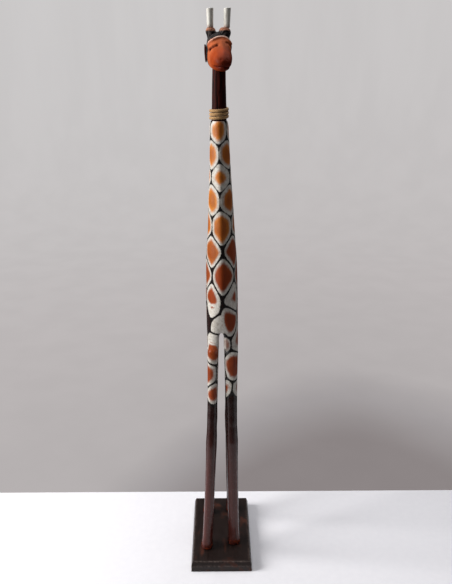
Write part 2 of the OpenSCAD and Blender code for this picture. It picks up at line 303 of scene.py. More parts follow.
# Rows down a leg: height, the sides that carry a patch, and the degrees by which the row is turned,
# anticlockwise from above; "ground" rows are bare stain
LEG_ROWS = {
    "leg_front_right": [(446, "front back", 0), (388, "sides", 28), (356, "front back", 12),
                        (317, "ground sides", 0), (300, "ground front back", 0)],
    "leg_front_left": [(461, "sides", 0), (410, "front back", 28), (358, "sides", 6),
                       (326, "ground sides", 0), (333, "ground front back", 0)],
}
LEG_ROWS["leg_hind_left"] = LEG_ROWS["leg_front_right"]
LEG_ROWS["leg_hind_right"] = LEG_ROWS["leg_front_left"]
# Height counts for less than width, so the patches stand tall and pointed
PATCH_SQUEEZE = 0.68
# How far corners are rounded off: at the dark line on the legs and on the body, and at the coloured middle
LEG_LINE_ROUND = 1.5
LINE_ROUND = 2.5
MIDDLE_ROUND = 1.3
# Reach over which two middles of one patch share their border widths
BORDER_BLEND = 6
# How far out the rays start that look for the surface from outside, in millimetres
RAY_START = 400
# Half the height of the slice of body whose middle a row of patches goes round
SLICE_HALF = 25


def outline_at(tree, middle, height, count=180):
    """Points round the outside of a mesh at one height, starting at the front."""
    ring = []
    for k in range(count):
        angle = 2 * math.pi * k / count
        out = np.array([math.sin(angle), -math.cos(angle), 0])
        start = np.array([middle[0], middle[1], height]) + out * RAY_START
        hit = tree.ray_cast(Vector(start), Vector(-out))[0]
        ring.append(np.array(hit))
    return np.array(ring)


def row_seeds(tree, height, front_places, others):
    """Patch middles at one height: some across the front, the others spaced evenly round the back."""
    reach = min(height, SHOULDER - 6)
    middle = slice_middle("body", reach - SLICE_HALF, reach + SLICE_HALF)
    ring = outline_at(tree, middle, reach)
    gaps = np.linalg.norm(np.roll(ring, -1, 0) - ring, axis=1)
    along = np.concatenate([[0], np.cumsum(gaps)])
    total = along[-1]
    closed = np.vstack([ring, ring[:1]])
    signed = np.where(along < total / 2, along, along - total)
    front = np.abs(signed) < total / 4
    stops = [signed[front][np.argmin(np.abs(closed[front, 0] - x))] for x in front_places]
    step = (total - (stops[-1] - stops[0])) / (others + 1)
    stops += [stops[-1] + step * (k + 1) for k in range(others)]
    seeds = np.stack([np.interp(np.array(stops) % total, along, closed[:, k]) for k in range(3)], 1)
    seeds[:, 2] = height
    return list(seeds)


def leg_middle(leg, height):
    """Middle of a leg near a height, or at its top for heights above it."""
    top = min(height, LEG_JOINT)
    span = (LEG_JOINT - BASE_TOP) / 20
    return slice_middle(leg, top - span, top + span)


def leg_seeds(tree, leg):
    """Patch middles down one leg, and which of them are bare stain."""
    seeds, bare = [], []
    for height, sides, turn in LEG_ROWS[leg]:
        middle = leg_middle(leg, height)
        turned = Matrix.Rotation(math.radians(turn), 3, "Z")
        outs = [(0, -1, 0), (0, 1, 0)] if "front" in sides else [(-1, 0, 0), (1, 0, 0)]
        for out in outs:
            start = Vector((middle[0], middle[1], height))
            seeds.append(np.array(tree.ray_cast(start, turned @ Vector(out))[0]))
            bare.append("ground" in sides)
    return seeds, bare


def pattern(tree):
    """For every patch middle: its place, its patch's number (BARE is stain), tone and border width."""
    seeds = []
    for row in PATCH_ROWS:
        seeds += row_seeds(tree, *row)
    owner = list(range(len(seeds)))
    for leg in LEGS:
        found, bare = leg_seeds(tree, leg)
        owner += [BARE if is_bare else len(seeds) + k for k, is_bare in enumerate(bare)]
        seeds += found

    def front_place(x, z):
        return np.array(tree.ray_cast(Vector((x, -RAY_START, z)), Vector((0, 1, 0)))[0])

    def nearest(x, z):
        return int(np.argmin(np.linalg.norm(np.array(seeds) - front_place(x, z), axis=1)))

    rng = np.random.default_rng(5)
    border = rng.uniform(-0.4, 1.0, len(seeds))
    for x, z, wider in PALE_PATCHES:
        border[nearest(x, z)] += wider
    for x, z in BARE_PLACES:
        owner[nearest(x, z)] = BARE
    for x, z, second_x, second_z in LONG_PATCHES:
        first = nearest(x, z)
        seeds.append(front_place(second_x, second_z))
        owner.append(owner[first])
        border = np.append(border, border[first] + LONG_BORDER)
    seeds = np.array(seeds)
    # The paint is redder low down. On the animal's left, the side away from the window, the patches are
    # painted darker and redder as painted shade
    uneven = rng.uniform(-0.12, 0.12, len(seeds))
    tone = ease(560, 700, seeds[:, 2]) - 0.4 * ease(6, 14, seeds[:, 0]) + uneven
    return seeds, np.array(owner), np.clip(tone, 0, 1), border


def patch_fields(points, seeds, owner, tone, border):
    """How far each point lies in from its patch's dark line and from its pale border, and its tone."""
    squeeze = np.array([1, 1, PATCH_SQUEEZE])
    wobble = np.stack([waves(points, 26, seed) for seed in (11, 12, 13)], 1) * 1.1
    p = (points + wobble) * squeeze
    s = seeds * squeeze
    between = np.linalg.norm(s[:, None] - s[None], axis=2)
    np.fill_diagonal(between, 1)
    kin = owner[:, None] == owner[None]
    line_round = LEG_LINE_ROUND + (LINE_ROUND - LEG_LINE_ROUND) * ease(480, 535, points[:, 2:])
    rim, blush = np.empty(len(p)), np.empty(len(p))
    nearest = np.empty(len(p), int)
    # Worked through in batches, to keep memory low
    batch = 20000
    for start in range(0, len(p), batch):
        part = slice(start, start + batch)
        square = ((p[part, None] - s[None]) ** 2).sum(2)
        own = square.argmin(1)
        nearest[part] = own
        row = np.arange(len(own))
        edge = (square - square[row, own][:, None]) / (2 * between[own])
        # Places of one patch, and of bare stain, meet without an edge
        edge[kin[own]] = FAR_OFF
        bend = line_round[part]
        rim[part] = -bend[:, 0] * np.log(np.exp(-edge / bend).sum(1) + 1e-12)
        blush[part] = -MIDDLE_ROUND * np.log(np.exp(-edge / MIDDLE_ROUND).sum(1) + 1e-12)
        away = np.sqrt(square) - np.sqrt(square[row, own])[:, None]
        share = kin[own] * np.exp(-away / BORDER_BLEND)
        blush[part] -= share @ border / share.sum(1)
    rim = np.where(owner[nearest] == BARE, -np.abs(rim), rim)
    return np.clip(rim, -12, 30), np.clip(blush, -12, 30), tone[nearest]


# ---------------------------------------------------------------- node materials

def linear(r, g, b):
    """A display colour, 0 to 255, as linear light."""
    def one(c):
        c /= 255
        return c / 12.92 if c < 0.04045 else ((c + 0.055) / 1.055) ** 2.4
    return (one(r), one(g), one(b), 1)


class Surface:
    """A node material built up in steps; sizes are in millimetres."""

    def __init__(self, name, **fixed):
        self.material = bpy.data.materials.new(name)
        self.material.use_nodes = True
        self.tree = self.material.node_tree
        self.shader = self.tree.nodes["Principled BSDF"]
        for socket, value in fixed.items():
            self.shader.inputs[socket.replace("_", " ")].default_value = value
        self.place = self.tree.nodes.new("ShaderNodeTexCoord").outputs["Object"]

    def set(self, socket, value):
        """Links another node's output to a socket, or sets a plain value on it."""
        if isinstance(value, bpy.types.NodeSocket):
            self.tree.links.new(value, socket)
        else:
            socket.default_value = value

    def add(self, kind, inputs, output=0, **options):
        """A new node with its inputs filled; gives one of its outputs."""
        node = self.tree.nodes.new(kind)
        for option, value in options.items():
            setattr(node, option, value)
        for key, value in inputs.items():
            self.set(node.inputs[key], value)
        return node.outputs[output]

    def stretched(self, stretch):
        return self.add("ShaderNodeMapping", {"Vector": self.place, "Scale": stretch})

    def noise(self, size, detail=3, stretch=(1, 1, 1), twist=0.0):
        return self.add("ShaderNodeTexNoise", {"Vector": self.stretched(stretch),
                        "Scale": 1 / (size * MM), "Detail": detail, "Distortion": twist})

    def field(self, name):
        """A value that store() kept on the mesh."""
        return self.add("ShaderNodeAttribute", {}, output=2, attribute_name=name)

    def span(self, value, low, high, to_low=0.0, to_high=1.0):
        """Maps low to high smoothly onto another range."""
        return self.add("ShaderNodeMapRange", {"Value": value, "From Min": low, "From Max": high,
                        "To Min": to_low, "To Max": to_high}, interpolation_type="SMOOTHSTEP")

    def math(self, operation, a, b=0.0):
        return self.add("ShaderNodeMath", {0: a, 1: b}, operation=operation)

    def mix(self, factor, a, b):
        return self.add("ShaderNodeMix", {0: factor, 6: a, 7: b}, output=2, data_type="RGBA")

    def height(self):
        """Height above the table in millimetres."""
        split = self.add("ShaderNodeSeparateXYZ", {"Vector": self.place}, output=2)
        return self.math("DIVIDE", split, MM)

    def finish(self, colour, roughness, relief, depth):
        """depth is the relief's height in millimetres."""
        self.set(self.shader.inputs["Base Color"], colour)
        self.set(self.shader.inputs["Roughness"], roughness)
        bump = self.add("ShaderNodeBump", {"Height": relief, "Distance": depth * MM, "Strength": 1.0})
        self.set(self.shader.inputs["Normal"], bump)
        return self.material


# Stretch that draws noise out along upright wood
GRAIN = (1, 1, 0.08)


def stain_colour(s):
    """Dark glossy stain that turns reddish brown lower down the legs, towards the table."""
    streaks = s.noise(4, 4, (1, 1, 0.05), 0.3)
    low = s.span(s.height(), 330, 150)
    dark = s.mix(streaks, linear(20, 8, 6), linear(46, 18, 12))
    # The reddish brown that the stain turns to lower down, set by height alone
    worn = s.mix(streaks, linear(50, 20, 16), linear(92, 40, 32))
    base = s.mix(low, dark, worn)
    toe = s.math("MULTIPLY", s.span(s.height(), 40, 24), s.span(s.noise(9, 2), 0.5, 0.62))
    return s.mix(toe, base, linear(122, 50, 26))


def painted_wood():
    s = Surface("painted_wood", Coat_Weight=0.1, Coat_Roughness=0.2, Specular_IOR_Level=0.3)
    edge_noise = s.math("MULTIPLY", s.math("SUBTRACT", s.noise(3.2, 3), 0.5), 1.4)
    # The dark lines are broader low on the body
    broader = s.span(s.height(), 720, 600, 0, 0.9)
    rim = s.math("SUBTRACT", s.math("ADD", s.field("rim"), edge_noise), broader)
    feather = s.math("MULTIPLY", s.math("SUBTRACT", s.noise(4, 5, (1, 1, 0.5)), 0.5), 2.8)
    blush = s.math("ADD", s.field("blush"), feather)
    cloud = s.noise(10, 5, (1, 1, 0.6))
    light_patch = s.mix(cloud, linear(224, 146, 52), linear(176, 86, 20))
    dark_patch = s.mix(cloud, linear(176, 80, 24), linear(104, 30, 6))
    # A low tone gives the redder paint low down, and the painted shade on the animal's left, away from the
    # window
    patch = s.mix(s.field("tone"), dark_patch, light_patch)
    # Sprayed on: pale at the edge of the colour, fuller and redder in its middle
    core = s.math("MULTIPLY", s.span(blush, 6, 11), 0.45)
    patch = s.mix(core, patch, linear(128, 46, 8))
    halo = s.mix(s.span(s.noise(4, 4), 0.35, 0.75), linear(216, 212, 204), linear(184, 176, 164))
    painted = s.mix(s.span(blush, 2.2, 7.0), halo, patch)
    line = s.mix(s.noise(5, 2), linear(16, 14, 14), linear(32, 27, 25))
    stain = s.mix(s.span(rim, -1.5, -3.5), line, stain_colour(s))
    colour = s.mix(s.span(rim, -0.3, 1.0), stain, painted)
    strokes = s.noise(1.6, 4, (1, 1, 0.25))
    dry = s.span(rim, 0, 2, 0, 0.4)
    roughness = s.span(s.math("ADD", s.math("MULTIPLY", strokes, 0.5), dry), 0.1, 0.85, 0.22, 0.5)
    return s.finish(colour, roughness, strokes, 0.08)


def dark_wood():
    s = Surface("dark_wood", Specular_IOR_Level=0.07)
    streaks = s.noise(1.8, 5, GRAIN, 0.5)
    colour = s.mix(s.span(streaks, 0.3, 0.75), linear(16, 6, 5), linear(76, 24, 16))
    roughness = s.span(streaks, 0.2, 0.8, 0.5, 0.66)
    return s.finish(colour, roughness, streaks, 0.15)


def face_wood():
    s = Surface("face_wood", Specular_IOR_Level=0.08)
    cloud = s.noise(7, 4)
    salmon = s.mix(cloud, linear(196, 104, 62), linear(166, 78, 40))
    russet = s.mix(cloud, linear(172, 72, 26), linear(134, 46, 14))
    umber = s.mix(cloud, linear(104, 32, 12), linear(70, 16, 6))
    face = s.mix(s.field("muzzle"), salmon, russet)
    # Painted shade, with some darker stain at the nose end, turns the face umber
    face = s.mix(s.field("painted_shade_and_stain"), face, umber)
    # Painted highlight: a pale line along the brow ridge
    face = s.mix(s.field("brow"), face, linear(246, 214, 196))
    # Painted highlight: light grey glints on the crests of the combed hair, in patches
    hair = s.span(s.math("ADD", s.field("comb"), s.noise(1.5, 3)), 0.8, 1.6)
    cap = s.mix(s.math("MULTIPLY", hair, s.span(s.noise(9, 3), 0.35, 0.7, 0.25, 1)), linear(20, 16, 16),
                linear(104, 96, 94))
    tan = s.mix(cloud, linear(196, 146, 116), linear(122, 58, 44))
    colour = s.mix(s.field("cap"), face, cap)
    colour = s.mix(s.field("mound"), colour, tan)
    fine = s.noise(1.4, 4, (1, 1, 0.5))
    return s.finish(colour, s.span(fine, 0.2, 0.8, 0.46, 0.64), fine, 0.1)


def horn_wood():
    s = Surface("horn_wood")
    streaks = s.noise(1.3, 5, GRAIN, 0.4)
    colour = s.mix(s.span(streaks, 0.35, 0.75), linear(226, 224, 216), linear(188, 182, 170))
    foot = s.span(s.height(), HEAD_TOP + 6, HEAD_TOP - 1)
    colour = s.mix(s.math("MULTIPLY", foot, 0.7), colour, linear(140, 88, 68))
    return s.finish(colour, s.span(streaks, 0.2, 0.8, 0.5, 0.68), streaks, 0.2)


def twine_fibre():
    s = Surface("twine_fibre", Sheen_Weight=0.25, Sheen_Roughness=0.5)
    fibre = s.noise(0.6, 5, (1, 1, 4), 0.6)
    colour = s.mix(s.span(fibre, 0.3, 0.75), linear(150, 106, 58), linear(222, 180, 118))
    deep = s.field("deep")
    # Painted shade in the grooves between the strands
    colour = s.mix(deep, colour, linear(84, 50, 24))
    return s.finish(colour, s.span(fibre, 0, 1, 0.7, 0.9), fibre, 0.25)


def base_wood():
    s = Surface("base_wood", Specular_IOR_Level=0.3)
    streaks = s.noise(3, 5, (0.9, 0.08, 1), 0.5)
    black = s.mix(streaks, linear(18, 12, 11), linear(38, 25, 21))
    bare = s.mix(streaks, linear(78, 34, 18), linear(108, 52, 28))
    patchy = s.noise(24, 4, (1, 0.6, 1), 0.6)
    worn = s.math("MULTIPLY", s.span(patchy, 0.55, 0.78), 0.55)
    rubbed = s.math("MULTIPLY", s.field("edge"), s.span(s.noise(5, 4), 0.35, 0.7))
    colour = s.mix(worn, black, bare)
    colour = s.mix(s.math("MULTIPLY", rubbed, 0.8), colour, linear(92, 78, 72))
    rough = s.span(s.math("ADD", streaks, worn), 0.2, 1.1, 0.34, 0.62)
    return s.finish(colour, rough, streaks, 0.2)


def plain_wood():
    s = Surface("plain_wood")
    grain = s.noise(1.2, 5, GRAIN, 0.4)
    colour = s.mix(grain, linear(206, 164, 112), linear(158, 112, 68))
    return s.finish(colour, s.span(grain, 0, 1, 0.5, 0.7), grain, 0.15)


def screw_steel():
    s = Surface("screw_steel", Metallic=1.0)
    brushed = s.noise(0.5, 4, (1, 1, 8))
    colour = s.mix(brushed, linear(176, 176, 178), linear(132, 132, 136))
    return s.finish(colour, s.span(brushed, 0, 1, 0.25, 0.45), brushed, 0.03)


# ---------------------------------------------------------------- pieces

def place(piece, nodes, material):
    """Puts a finished piece in the place of its CAD nodes."""
    piece.data.materials.clear()
    piece.data.materials.append(material)
    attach(piece, "root")
    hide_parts(*nodes)


def middle_line(points):
    """Place across of the animal's middle at each point's height."""
    return np.interp(points[:, 2], [LEG_JOINT, SHOULDER], [3.2, -2.1])


def mane_at(points, normals):
    """1 on the ridge down the back of the neck, 0 away from it."""
    ridge = hump(points[:, 0], middle_line(points), 4.2)
    return ease(590, 640, points[:, 2]) * ridge * ease(0.3, 0.9, normals[:, 1])


# Keel down chest and neck, in millimetres: its height before it is blunted, how far it reaches to each
# side, and how blunt its edge is
KEEL_HEIGHT = 1.7
KEEL_REACH = 9
KEEL_BLUNT = 2.4
# From notch to notch down the mane, and from ridge to ridge of the combed hair, in millimetres
NOTCH_PITCH = 5.5
COMB_PITCH = 3.2


def carved_animal():
    """Body, neck and legs as one carved surface, before it is cut into its pieces.

    The stick and the screws are in it too, so that their holes are closed, and are drilled out later.
    """
    shell = remeshed("shell", ["body", "upper_neck", "base_screws"] + LEGS, 1.2)
    height = points_of(shell)[:, 2]
    trunk = ease(LEG_JOINT - 30, LEG_JOINT - 5, height)
    soften(shell, 30, 0.35 + 0.65 * trunk)
    points = points_of(shell)
    normals = normals_of(shell)
    off_middle = np.abs(points[:, 0] - middle_line(points))
    ridge = np.clip(1 - np.hypot(off_middle, KEEL_BLUNT) / KEEL_REACH, 0, 1)
    keel = KEEL_HEIGHT * ease(495, 560, points[:, 2]) * ridge * (normals[:, 1] < -0.3)
    notches = mane_at(points, normals) * (0.35 + 0.6 * np.sin(points[:, 2] * 2 * math.pi / NOTCH_PITCH))
    swell(shell, 0.25 + keel + notches + 0.3 * waves(points, 24, 3))
    return shell


def make_animal(material):
    """Body and legs: cut out of one carved surface, so the pattern runs on from piece to piece."""
    shell = carved_animal()
    faces = [tuple(face.vertices) for face in shell.data.polygons]
    tree = BVHTree.FromPolygons([Vector(p) for p in points_of(shell)], faces)
    patches = pattern(tree)
    body = link("painted_body", shell.data.copy())
    cut(body, SHOULDER, keep_above=False)
    cut(body, LEG_JOINT, keep_above=True)
    drill(body, ["upper_neck"])
    drill(body, ["leg_dowels"])
    pieces = {"body": body}
    for leg in LEGS:
        side = 1 if "left" in leg else -1
        end = -1 if "front" in leg else 1
        piece = link("carved_" + leg, shell.data.copy())
        cut(piece, LEG_JOINT, keep_above=False)
        keep_where(piece, lambda p: (p.x - LEG_GAP_X) * side > 0 and (p.y - LEG_GAP_Y) * end > 0)
        cut(piece, BASE_TOP, keep_above=True)
        drill(piece, ["leg_dowels"])
        drill(piece, ["base_screws"])
        pieces[leg] = piece
    bpy.data.objects.remove(shell)
    for node, piece in pieces.items():
        points = points_of(piece)
        rim, blush, tone = patch_fields(points, *patches)
        # The mane is left dark
        rim -= 14 * ease(0.25, 0.6, mane_at(points, normals_of(piece)))
        for name, values in (("rim", rim), ("blush", blush), ("tone", tone)):
            store(piece, name, values)
        finish_faces(piece)
        place(piece, [node], material)


def head_local(points):
    """Across, forward and up in the head's own directions."""
    local = (points - SKULL) @ np.array(HEAD_AXES)
    return local[:, 0], -local[:, 1], local[:, 2]


def head_turned(direction):
    """A direction given across, back and up in the head, in the frame's own axes."""
    return np.array(HEAD_AXES @ Vector(direction))


def near_path(across, forward, up, path):
    """Distance from points on the head to a line of places [across, forward, up]."""
    points = np.stack([across, forward, up], 1)
    best = np.full(len(points), FAR_OFF)
    for start, end in zip(np.array(path[:-1], float), np.array(path[1:], float)):
        way = end - start
        share = np.clip((points - start) @ way / (way @ way), 0, 1)[:, None]
        best = np.minimum(best, np.linalg.norm(points - start - share * way, axis=1))
    return best


# Lines on the head: [across, forward, up] from the middle of the skull
BROW = [(-18, 5, 9), (-17, 8, 14), (-12, 11, 19.5), (-5, 9.2, 22.6), (1.5, 7.6, 23.2),
        (8, 7.6, 22.6), (14, 9, 18.4), (17.5, 8, 12)]
EYES = [[(-6.5, 22, 15.5), (-12.6, 21, 12.3), (-18, 16.5, 6)],
        [(9.5, 16.6, 18), (13.5, 15.2, 16), (16.8, 13.6, 12.4)]]
MOUTH = [(-12.4, 42, -9.4), (-10.2, 50, -7.2), (-6, 56, -4.9), (0, 58, -4.2), (6, 56, -4.9),
         (10.2, 50, -7.2), (12.4, 42, -9.4)]


def make_head(material):
    """The head, with brow, eye creases, mouth, nostrils and combed hair carved in."""
    head = remeshed("carved_head", ["head"], 0.7)
    soften(head, 16)
    points = points_of(head)
    across, forward, up = head_local(points)
    side = np.abs(across)
    upper = ease(-2, 6, up)
    brow_across = [spot[0] for spot in BROW[1:-1]]
    brow_forward = [spot[1] for spot in BROW[1:-1]]
    brow_line = np.interp(across, brow_across, brow_forward)
    past_brow = forward - brow_line
    brow = near_path(across, forward, up, BROW)
    eye = np.minimum(*[near_path(across, forward, up, path) for path in EYES])
    lid = np.minimum(*[near_path(across, forward + 3.4, up, path) for path in EYES])
    mouth = near_path(across, forward, up, MOUTH)
    lip = near_path(across, forward, up + 3.8, MOUTH)
    # The crown overhangs the face along the brow
    step = -1.2 * ease(0.5, 4, past_brow) * upper * (1 - ease(24, 44, forward))
    bridge = 0.9 * hump(across, 1.5, 4) * ease(10, 18, forward) * (1 - ease(40, 54, forward)) * upper
    eye_depth = 3.0 - 1.9 * ease(2, 8, across)
    nostrils = -0.7 * hump(forward, 53.5, 1.5) * hump(side, 4.6, 1.7) * ease(0, 3, up)
    crown = (1 - ease(-1.5, 0.5, past_brow)) * ease(-14, -4, up)
    comb = np.sin((past_brow + 0.3 * across) * 2 * math.pi / COMB_PITCH + 1.6 * waves(points, 14, 22)
                  + 1.1 * waves(points, 5, 23))
    swell(head, 0.12 + step + bridge + nostrils + 1.2 * hump(brow, 0, 1.9) - eye_depth * hump(eye, 0, 2.1)
          + 1.3 * hump(lid, 0, 2.2) - 1.5 * hump(mouth, 0, 1.4) + 0.6 * hump(lip, 0, 2)
          + 0.35 * crown * comb + 0.18 * waves(points, 12, 21))
    soften(head, 1)
    cap = np.maximum(1 - ease(-2.2, -0.8, past_brow), (1 - ease(9, 15, forward)) * (1 - ease(4, 10, up)))
    # Painted shade: darker in the eye creases and the mouth groove, towards the nose end and on the side away
    # from the window; the nose end is also stained darker
    crease = 1.5 - 0.8 * ease(2, 8, across)
    nose_end = 0.92 * ease(35, 58, forward + 0.25 * across)
    far_side = 0.75 * ease(1, 15, across) * ease(14, 26, forward)
    painted_shade_and_stain = 1 - (1 - nose_end) * (1 - far_side) + crease * hump(eye, 0, 2) + 0.9 * hump(mouth, 0, 1.8)
    store(head, "cap", cap)
    store(head, "comb", comb * 0.5 + 0.5)
    store(head, "mound", ease(HEAD_TOP - 6, HEAD_TOP - 3.5, points[:, 2]))
    # Painted highlight along the brow ridge, fainter at its end on the viewer's left
    store(head, "brow", hump(brow, 0, 1.1) * (0.55 + 0.45 * ease(-14, -4, across)))
    store(head, "muzzle", ease(20, 34, forward))
    store(head, "painted_shade_and_stain", np.clip(painted_shade_and_stain, 0, 1))
    finish_faces(head, 60)
    place(head, ["head"], material)


def make_horn(node, seed, material):
    """A pale dowel, slightly uneven."""
    horn = remeshed("pale_" + node, [node], 0.45)
    soften(horn, 3)
    points = points_of(horn)
    swell(horn, 0.06 + 0.22 * waves(points, 9, seed))
    finish_faces(horn, 40)
    place(horn, [node], material)


def make_stick(material):
    """The neck stick, shaved in long facets between the twine and the head."""
    facets = 9
    head_entry = 915
    stick = remeshed("neck_stick", ["upper_neck"], 0.9)
    soften(stick, 4)
    points = points_of(stick)
    middle = STICK_FOOT + (STICK_HEAD - STICK_FOOT) * (
        (points[:, 2] - STICK_FOOT[2]) / (STICK_HEAD[2] - STICK_FOOT[2]))[:, None]
    turn = np.arctan2(points[:, 1] - middle[:, 1], points[:, 0] - middle[:, 0])
    shown = ease(SHOULDER, SHOULDER + 4, points[:, 2]) * (1 - ease(head_entry, head_entry + 10, points[:, 2]))
    shaved = 0.18 * np.cos(turn * facets + 0.6 * waves(points, 60, 31))
    swell(stick, shown * (shaved - 0.1 + 0.22 * waves(points, 20, 32)))
    finish_faces(stick)
    place(stick, ["upper_neck"], material)


def make_twine(material):
    """A twine of four twisted strands, wound round the foot of the stick."""
    low, high = box_mm("neck_twine")
    turns, gap, tall, rise = 3, 0.6, 4.9, 0.6
    # Air between the stick and the twine, and how many half laps the strands twist in one turn
    air, twist = 0.1, 11
    stick_radius = (STICK_HIGH[0] - STICK_LOW[0]) / 2
    thick = (high[0] - low[0]) / 2 - stick_radius - air
    axis = (STICK_HEAD - STICK_FOOT) / np.linalg.norm(STICK_HEAD - STICK_FOOT)
    foot = STICK_FOOT + axis * (SHOULDER - STICK_FOOT[2]) / axis[2]
    radius = stick_radius + thick / 2 + air
    side = np.cross([0, 1, 0], axis)
    ahead = np.cross(axis, side)
    steps, sides = 330, 20
    rings = []
    deep = []
    for k in range(steps + 1):
        s = turns * k / steps
        turn = math.radians(90) + 2 * math.pi * s
        out = side * math.cos(turn) + ahead * math.sin(turn)
        middle = foot + out * radius + axis * (tall / 2 + rise + (tall + gap) * s)
        taper = min(1, 0.35 + 6 * s, 0.35 + 6 * (turns - s))
        for j in range(sides):
            q = -2 * math.pi * j / sides
            strand = abs(math.sin(2 * q + turn * twist))
            size = taper * (0.86 + 0.16 * math.sqrt(strand))
            outward = out * thick / 2 * math.cos(q) * size
            rings.append(middle + outward + axis * tall / 2 * math.sin(q) * size)
            # Painted shade where the strands meet
            deep.append(1 - min(1, strand * 2.2))
    faces = []
    for i in range(steps):
        for j in range(sides):
            here, above = i * sides, (i + 1) * sides
            after = (j + 1) % sides
            faces.append((here + j, here + after, above + after, above + j))
    faces.append(tuple(reversed(range(sides))))
    faces.append(tuple(range(steps * sides, (steps + 1) * sides)))
    mesh = bpy.data.meshes.new("twine")
    mesh.from_pydata([Vector(p * MM) for p in rings], [], faces)
    twine = link("wound_twine", mesh)
    store(twine, "deep", deep)
    finish_faces(twine, 80)
    place(twine, ["neck_twine"], material)


# How far the ears are pressed against the cheeks, in millimetres
EAR_PRESS = 0.9


def make_ear(node, material):
    """A leaf-shaped ear with a hollow on its outer side."""
    ear = remeshed("leaf_" + node, [node], 0.45)
    soften(ear, 4)
    points = points_of(ear)
    across, forward, up = head_local(points)
    outward = np.sign(across.mean())
    normals = normals_of(ear)
    face_out = np.clip(normals[:, 0] * outward, 0, 1) ** 2
    tip, root = up.min(), up.max()
    middle = forward[np.abs(up - (tip + root) / 2) < 2].mean()
    hollow = -0.9 * face_out * hump(forward, middle, 3) * ease(tip + 3, tip + 12, up)
    swell(ear, 0.05 + hollow + 0.12 * waves(points, 7, 41))
    # The real ears press against the cheeks
    to_cheek = head_turned((-outward, 0, 0))
    move_points(ear, points_of(ear) + EAR_PRESS * to_cheek)
    finish_faces(ear, 60)
    place(ear, [node], material)


def make_tail(material):
    """The tail, with the strands of its tuft carved in."""
    # How far the hanging part and its middle lie in from the back, the tuft's ends, and its strands
    hanging_depth, middle_depth = 16, 7
    tuft_full, tuft_end = 34, 46
    strand_count, strand_lean = 8, 0.12
    tail = remeshed("carved_tail", ["tail"], 0.6)
    soften(tail, 6)
    points = points_of(tail)
    low, high = box_mm("tail")
    hanging = points[:, 1] > high[1] - hanging_depth
    middle = np.array([(low[0] + high[0]) / 2, high[1] - middle_depth])
    turn = np.arctan2(points[:, 1] - middle[1], points[:, 0] - middle[0])
    tuft = 1 - ease(low[2] + tuft_full, low[2] + tuft_end, points[:, 2])
    strands = 0.5 * tuft * np.sin(turn * strand_count + points[:, 2] * strand_lean)
    swell(tail, hanging * strands - 0.2 + 0.15 * waves(points, 10, 51))
    finish_faces(tail, 60)
    place(tail, ["tail"], material)


def foot_place(leg):
    """Middle of a leg's foot, brought down to the table."""
    middle = slice_middle(leg, BASE_TOP - 1, BASE_TOP + 0.5)
    return Vector((middle[0], middle[1], 0))


def make_base(material):
    """The block base with sloped top edges, worn corners and its screw holes."""
    low, high = BASE_LOW, BASE_HIGH
    edge_in, edge_down = 3, 9
    worn_edge, mesh_step, recess_margin = 0.9, 3, 0.15
    outline = [(low[0], low[1]), (high[0], low[1]), (high[0], high[1]), (low[0], high[1])]
    levels = [(low[2], 0), (high[2] - edge_down, 0), (high[2], edge_in)]
    corners = []
    for level, inset in levels:
        for x, y in outline:
            corners.append((x - math.copysign(inset, x), y - math.copysign(inset, y), level))
    faces = [(3, 2, 1, 0), (8, 9, 10, 11)]
    for ring in (0, 4):
        faces += [(ring + k, ring + (k + 1) % 4, ring + 4 + (k + 1) % 4, ring + 4 + k) for k in range(4)]
    mesh = bpy.data.meshes.new("block")
    mesh.from_pydata([Vector(c) * MM for c in corners], [], faces)
    work = bmesh.new()
    work.from_mesh(mesh)
    bmesh.ops.bevel(work, geom=work.edges[:], offset=worn_edge * MM, segments=3, profile=0.5,
                     affect="EDGES")
    for direction, first, last in (((1, 0, 0), low[0], high[0]), ((0, 1, 0), low[1], high[1]),
                                   ((0, 0, 1), low[2], high[2])):
        for step in np.arange(first + mesh_step, last - mesh_step / 2, mesh_step):
            bmesh.ops.bisect_plane(work, geom=work.verts[:] + work.edges[:] + work.faces[:],
                                   dist=1e-7, plane_co=Vector(direction) * step * MM, plane_no=direction)
    work.to_mesh(mesh)
    work.free()
    base = link("worn_base", mesh)
    drill(base, ["base_screws"])
    screws_low, screws_high = box_mm("base_screws")
    radius = screws_high[0] - max(foot_place(leg)[0] for leg in LEGS) + recess_margin
    for leg in LEGS:
        # From under the base to a little way into the hole left by the screw
        work = bmesh.new()
        bmesh.ops.create_cone(work, cap_ends=True, segments=48, radius1=radius * MM, radius2=radius * MM,
                              depth=2.6 * screws_low[2] * MM, matrix=Matrix.Translation(foot_place(leg) * MM))
        mesh = bpy.data.meshes.new("recess")
        work.to_mesh(mesh)
        work.free()
        take_away(base, link("recess", mesh))
    points = points_of(base)
    # Distance across to the nearest edge of the flat top
    from_side = np.minimum(np.abs(np.abs(points[:, 0]) - (high[0] - edge_in)),
                           np.abs(np.abs(points[:, 1]) - (high[1] - edge_in)))
    rubbed = hump(from_side, 0, 2.2) * ease(high[2] - 2.5, high[2] - 0.5, points[:, 2])
    foot = hump(points[:, 2], high[2] - edge_down, 1.6)
    corner = ease(1.5, 0, np.abs(np.abs(points[:, 0]) - high[0]))
    corner *= ease(3, 0, np.abs(np.abs(points[:, 1]) - high[1]))
    clear_of_table = ease(low[2], low[2] + 2, points[:, 2])
    knocks = ease(0.45, 0.8, waves(points, 14, 62)) * (rubbed + foot)
    swell(base, clear_of_table * (-0.12 + 0.12 * waves(points, 34, 61) - 0.9 * knocks))
    store(base, "edge", np.clip(rubbed + 0.7 * foot + corner, 0, 1))
    finish_faces(base, 40)
    place(base, ["base_plate"], material)


def make_screws(material):
    """The screws as they are in CAD, with their slivers welded."""
    screws = solid_copy("turned_screws", ["base_screws"])
    clean(screws)
    finish_faces(screws, 30)
    place(screws, ["base_screws"], material)


